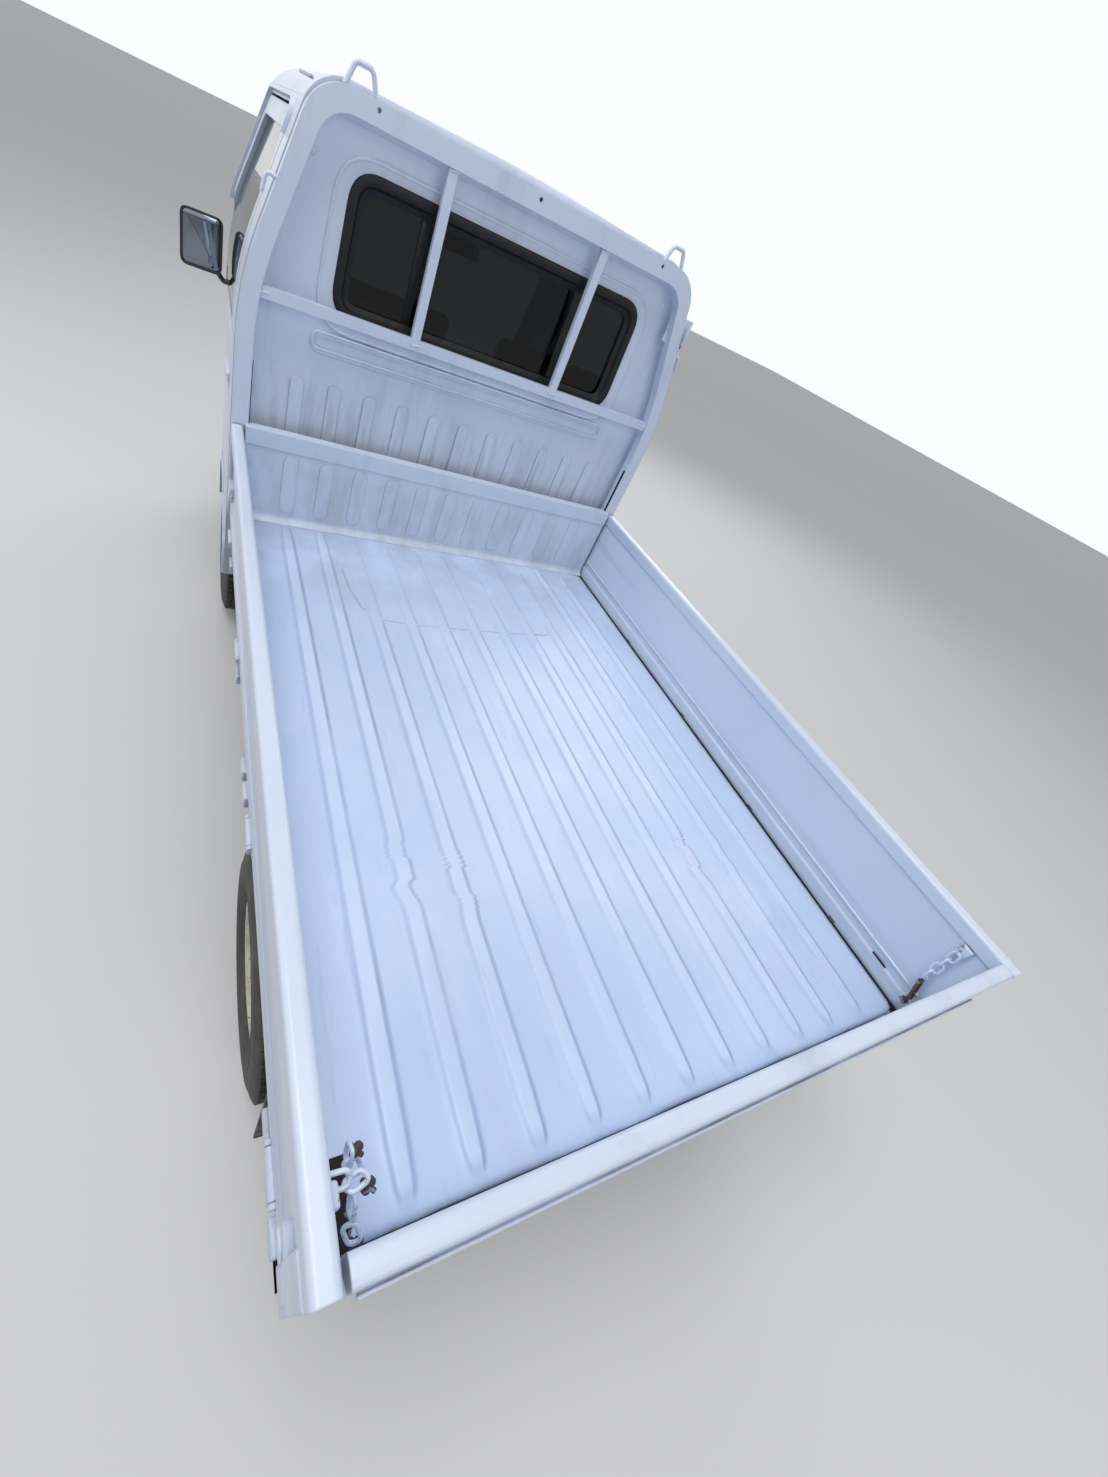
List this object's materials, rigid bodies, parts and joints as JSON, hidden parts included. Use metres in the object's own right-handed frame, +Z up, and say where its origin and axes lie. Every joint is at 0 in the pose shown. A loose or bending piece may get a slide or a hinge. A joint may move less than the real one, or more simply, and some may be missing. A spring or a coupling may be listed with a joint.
{
  "type": "kei truck",
  "caption": "Small cab-over flatbed truck with a drop-sided load bed, a guard frame behind the cab and two doors.",
  "frame": {"origin": "on the ground, midway along and across the truck", "axes": "+Z up, the truck faces -Y, +X is its left side"},
  "size_m": [1.78, 3.395, 1.7939],
  "materials": {
    "white_paint": "gloss, worn in the load bed",
    "floor_paint": "scuffed satin white",
    "black_chassis": "matt black",
    "axle_steel": "dull and dusty",
    "exhaust_steel": "dull, heat stained",
    "engine": "dull cast",
    "tank": "matt black",
    "clear_glass": "clear with a slight green tint",
    "lamp_clear": "clear lens",
    "lamp_red": "red lens",
    "bumper": "gloss white",
    "dash": "grained dark grey",
    "wheel_grip": "black",
    "seat": "dark grey vinyl and cloth",
    "mirror_black": "black",
    "rubber_black": "matt black",
    "tyre": "dusty black",
    "rim": "cream white steel",
    "chain": "plated, rust spotted"
  },
  "bodies": {
    "chassis": {"ladder_frame": "black_chassis", "bed_frame": "white_paint", "bed_floor": "floor_paint", "headboard": "white_paint", "guard_hoop": "white_paint", "guard_bars": "white_paint", "rear_panel": "black_chassis", "tail_lamps": "lamp_red", "rear_axle": "axle_steel", "leaf_springs": "axle_steel", "propeller_shaft": "axle_steel", "engine_block": "engine", "fuel_tank": "tank", "exhaust": "exhaust_steel", "front_suspension": "axle_steel", "spare_wheel": "tyre", "mud_flaps": "rubber_black", "rope_hooks": "white_paint", "cab_floor": "black_chassis", "cab_back_panel": "white_paint", "cab_sides": "white_paint", "cab_roof": "white_paint", "cab_front_panel": "white_paint", "windscreen": "clear_glass", "rear_window": "clear_glass", "front_bumper": "bumper", "headlamps": "lamp_clear", "dashboard": "dash", "seat_cushions": "seat", "seat_backs": "seat"},
    "steering_wheel": {"steering_wheel": "wheel_grip"},
    "gate_left": {"gate_left": "white_paint"},
    "gate_right": {"gate_right": "white_paint"},
    "tailgate": {"tailgate": "white_paint", "tailgate_chains": "chain"},
    "door_left": {"door_left": "white_paint", "door_glass_left": "clear_glass", "mirror_left": "mirror_black"},
    "knuckle_left": {"knuckle_left": "axle_steel"},
    "wheel_front_left": {"tyre_front_left": "tyre", "rim_front_left": "rim"},
    "wheel_rear_left": {"tyre_rear_left": "tyre", "rim_rear_left": "rim"},
    "door_right": {"door_right": "white_paint", "door_glass_right": "clear_glass", "mirror_right": "mirror_black"},
    "knuckle_right": {"knuckle_right": "axle_steel"},
    "wheel_front_right": {"tyre_front_right": "tyre", "rim_front_right": "rim"},
    "wheel_rear_right": {"tyre_rear_right": "tyre", "rim_rear_right": "rim"}
  },
  "joints": [
    {"name": "door_left_hinge", "type": "hinge", "parent": "chassis", "child": "door_left", "pos_m": [0.69364, -1.481, 0.7], "axis": [0, 0, -1], "range_deg": [0, 66]},
    {"name": "gate_left_hinge", "type": "hinge", "parent": "chassis", "child": "gate_left", "pos_m": [0.7295, 0.6975, 0.631], "axis": [0, 1, 0], "range_deg": [0, 165]},
    {"name": "steer_left", "type": "hinge", "parent": "chassis", "child": "knuckle_left", "pos_m": [0.598, -0.735, 0.168], "axis": [-0.1695, 0, 0.9855], "range_deg": [-33, 33]},
    {"name": "wheel_front_left_spin", "type": "hinge", "parent": "knuckle_left", "child": "wheel_front_left", "pos_m": [0.655, -0.735, 0.272], "axis": [1, 0, 0], "continuous": true},
    {"name": "wheel_rear_left_spin", "type": "hinge", "parent": "chassis", "child": "wheel_rear_left", "pos_m": [0.655, 1.105, 0.272], "axis": [1, 0, 0], "continuous": true},
    {"name": "door_right_hinge", "type": "hinge", "parent": "chassis", "child": "door_right", "pos_m": [-0.69364, -1.481, 0.7], "axis": [0, 0, 1], "range_deg": [0, 66]},
    {"name": "gate_right_hinge", "type": "hinge", "parent": "chassis", "child": "gate_right", "pos_m": [-0.7295, 0.6975, 0.631], "axis": [0, -1, 0], "range_deg": [0, 165]},
    {"name": "steer_right", "type": "hinge", "parent": "chassis", "child": "knuckle_right", "pos_m": [-0.598, -0.735, 0.168], "axis": [0.1695, 0, 0.9855], "range_deg": [-33, 33]},
    {"name": "wheel_front_right_spin", "type": "hinge", "parent": "knuckle_right", "child": "wheel_front_right", "pos_m": [-0.655, -0.735, 0.272], "axis": [1, 0, 0], "continuous": true},
    {"name": "wheel_rear_right_spin", "type": "hinge", "parent": "chassis", "child": "wheel_rear_right", "pos_m": [-0.655, 1.105, 0.272], "axis": [1, 0, 0], "continuous": true},
    {"name": "tailgate_hinge", "type": "hinge", "parent": "chassis", "child": "tailgate", "pos_m": [0, 1.6895, 0.631], "axis": [-1, 0, 0], "range_deg": [0, 165]},
    {"name": "steering_wheel_turn", "type": "hinge", "parent": "chassis", "child": "steering_wheel", "pos_m": [-0.345, -1.235, 1.01], "axis": [0, 0.5299, 0.848], "range_deg": [-495, 495]}
  ],
  "couplings": [
    {"joint": "steer_right", "follows": "steer_left", "ratio": 1},
    {"joint": "steering_wheel_turn", "follows": "steer_left", "ratio": 15}
  ]
}
